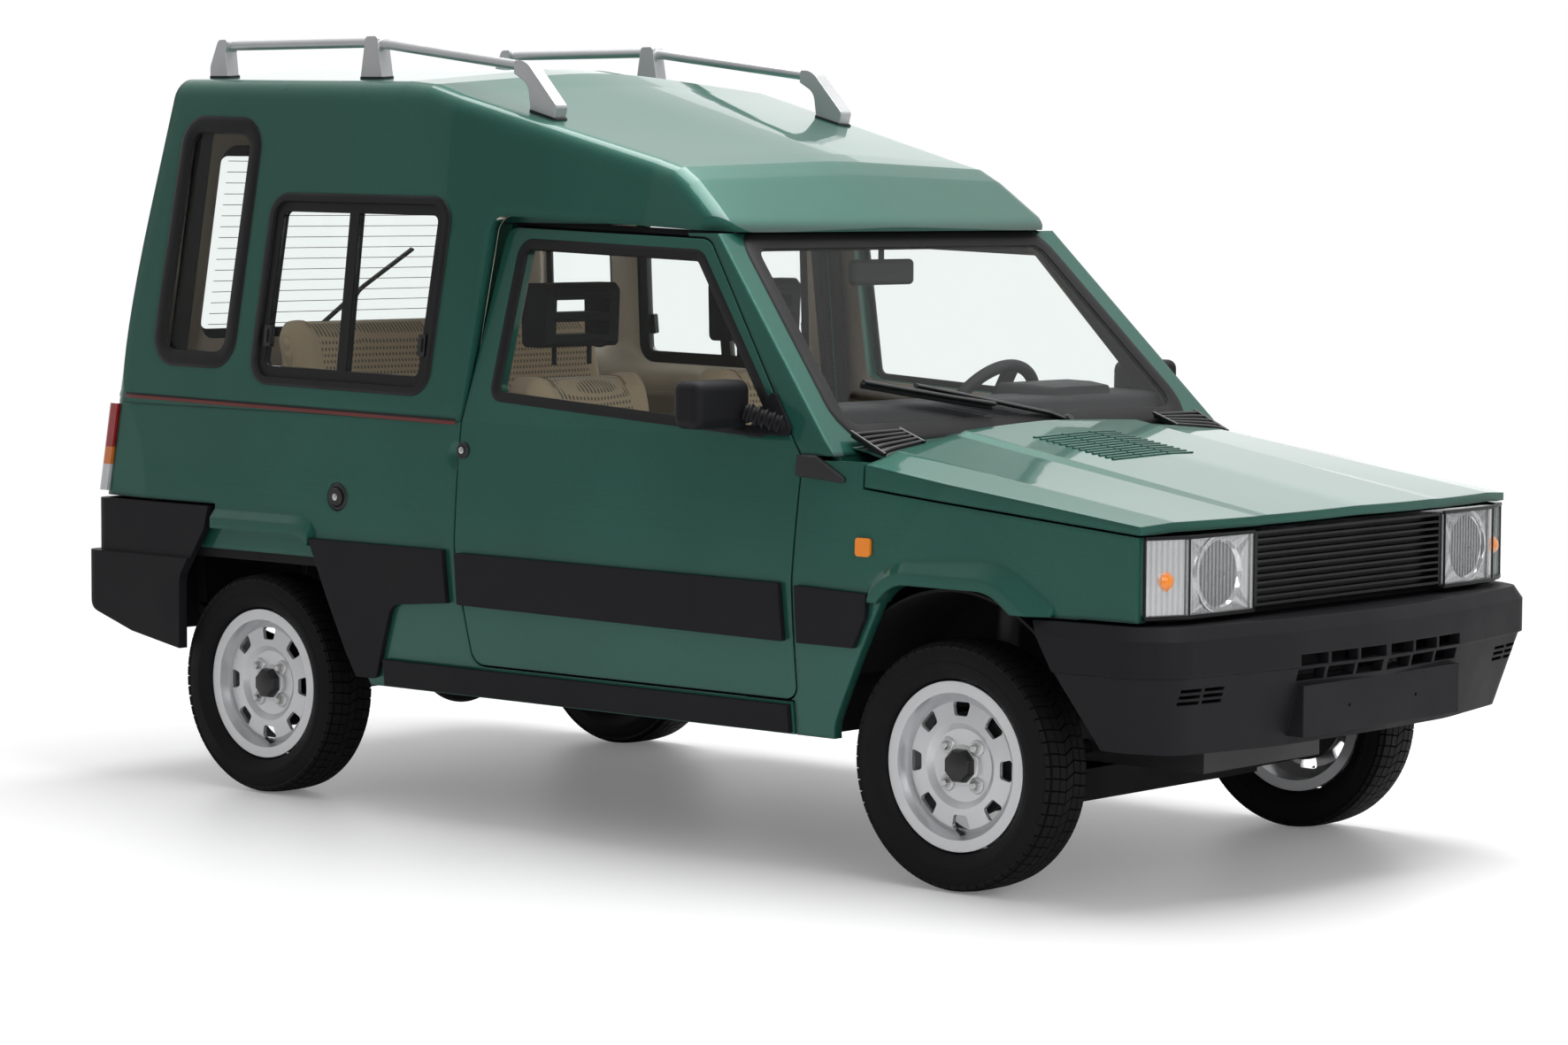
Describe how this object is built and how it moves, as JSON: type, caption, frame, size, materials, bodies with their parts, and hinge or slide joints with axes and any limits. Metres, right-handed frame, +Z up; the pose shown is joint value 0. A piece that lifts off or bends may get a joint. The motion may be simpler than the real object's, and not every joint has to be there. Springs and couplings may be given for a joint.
{
  "type": "four_wheel_drive_city_car",
  "caption": "Small boxy four-wheel-drive city car with a tall moulded roof, sliding side windows, roof rails and working doors, bonnet, tailgate and steering.",
  "frame": {"origin": "on the ground, under the middle of the overall box", "axes": "+X forward, +Y to the left side of the car, +Z up"},
  "size_m": [3.4076, 1.76, 1.843],
  "materials": {
    "paint": "satin",
    "tyre": "matte",
    "wheel_silver": "satin",
    "body_steel": "satin",
    "dark_plastic": "matte",
    "glass": "gloss",
    "rubber": "matte",
    "black_steel": "matte",
    "cast_metal": "matte",
    "bare_steel": "satin",
    "seat_cloth": "matte",
    "reflector": "gloss",
    "rail_alloy": "satin",
    "amber_lens": "gloss",
    "red_lens": "gloss"
  },
  "bodies": {
    "body": {"aperture_seals": "rubber", "cab_frame": "paint", "dashboard": "dark_plastic", "drive_shafts": "black_steel", "engine": "cast_metal", "exhaust": "bare_steel", "fixed_glass": "glass", "floor_pan": "body_steel", "front_bumper": "dark_plastic", "front_panel": "body_steel", "front_rails": "body_steel", "front_seats": "seat_cloth", "front_suspension": "black_steel", "front_wings": "paint", "fuel_tank": "black_steel", "grille": "dark_plastic", "head_restraints": "dark_plastic", "headlamp_bodies": "reflector", "headlamp_lenses": "glass", "high_roof": "paint", "inner_wings": "body_steel", "interior_mirror": "dark_plastic", "rear_axle": "black_steel", "rear_bumper": "dark_plastic", "rear_panel": "body_steel", "rear_seat": "seat_cloth", "roof_rails": "rail_alloy", "scuttle": "paint", "side_claddings": "dark_plastic", "side_panels": "paint", "side_repeaters": "amber_lens", "slide_frames": "rubber", "tail_lamps": "red_lens"},
    "wheel_fr": {"rim_front_right": "wheel_silver", "tyre_front_right": "tyre"},
    "wheel_fl": {"rim_front_left": "wheel_silver", "tyre_front_left": "tyre"},
    "wheel_rr": {"rim_rear_right": "wheel_silver", "tyre_rear_right": "tyre"},
    "wheel_rl": {"rim_rear_left": "wheel_silver", "tyre_rear_left": "tyre"},
    "upright_r": {"knuckle_right": "cast_metal"},
    "upright_l": {"knuckle_left": "cast_metal"},
    "hand_wheel": {"steering_wheel": "dark_plastic"},
    "rack": {"steering_rack": "black_steel"},
    "door_r": {"door_right": "paint", "door_glass_right": "glass", "door_trim_right": "dark_plastic"},
    "door_l": {"door_left": "paint", "door_glass_left": "glass", "door_trim_left": "dark_plastic"},
    "bonnet_lid": {"bonnet": "paint"},
    "gate": {"tailgate": "paint", "tailgate_glass": "glass"}
  },
  "joints": [
    {"name": "steer_right", "type": "hinge", "parent": "body", "child": "upright_r", "pos_m": [1.064, -0.47, 0.78], "axis": [0, 0.1993, 0.9799], "range_deg": [-33, 33]},
    {"name": "steer_left", "type": "hinge", "parent": "body", "child": "upright_l", "pos_m": [1.064, 0.47, 0.78], "axis": [0, -0.1993, 0.9799], "range_deg": [-33, 33]},
    {"name": "hand_wheel_turn", "type": "hinge", "parent": "body", "child": "hand_wheel", "pos_m": [0.33, 0.33, 0.915], "axis": [-0.8829, 0, 0.4695], "range_deg": [-561, 561]},
    {"name": "rack_slide", "type": "slide", "parent": "body", "child": "rack", "axis": [0, 1, 0], "range_m": [-0.0634, 0.0634]},
    {"name": "spin_front_right", "type": "hinge", "parent": "upright_r", "child": "wheel_fr", "pos_m": [1.064, -0.628, 0.268], "axis": [0, 1, 0], "continuous": true},
    {"name": "spin_front_left", "type": "hinge", "parent": "upright_l", "child": "wheel_fl", "pos_m": [1.064, 0.628, 0.268], "axis": [0, 1, 0], "continuous": true},
    {"name": "spin_rear_right", "type": "hinge", "parent": "body", "child": "wheel_rr", "pos_m": [-1.106, -0.628, 0.268], "axis": [0, 1, 0], "continuous": true},
    {"name": "spin_rear_left", "type": "hinge", "parent": "body", "child": "wheel_rl", "pos_m": [-1.106, 0.628, 0.268], "axis": [0, 1, 0], "continuous": true},
    {"name": "door_right_swing", "type": "hinge", "parent": "body", "child": "door_r", "pos_m": [0.671, -0.724, 0.64], "axis": [0, 0, 1], "range_deg": [0, 68]},
    {"name": "door_left_swing", "type": "hinge", "parent": "body", "child": "door_l", "pos_m": [0.671, 0.724, 0.64], "axis": [0, 0, -1], "range_deg": [0, 68]},
    {"name": "bonnet_lift", "type": "hinge", "parent": "body", "child": "bonnet_lid", "pos_m": [1.618, 0, 0.78], "axis": [0, 1, 0], "range_deg": [0, 70]},
    {"name": "tailgate_lift", "type": "hinge", "parent": "body", "child": "gate", "pos_m": [-1.49678, 0, 1.652], "axis": [0, 1, 0], "range_deg": [0, 85]}
  ],
  "couplings": [
    {"joint": "steer_left", "follows": "steer_right", "ratio": 1},
    {"joint": "hand_wheel_turn", "follows": "steer_right", "ratio": 17},
    {"joint": "rack_slide", "follows": "steer_right", "m_per_rad": -0.11}
  ]
}
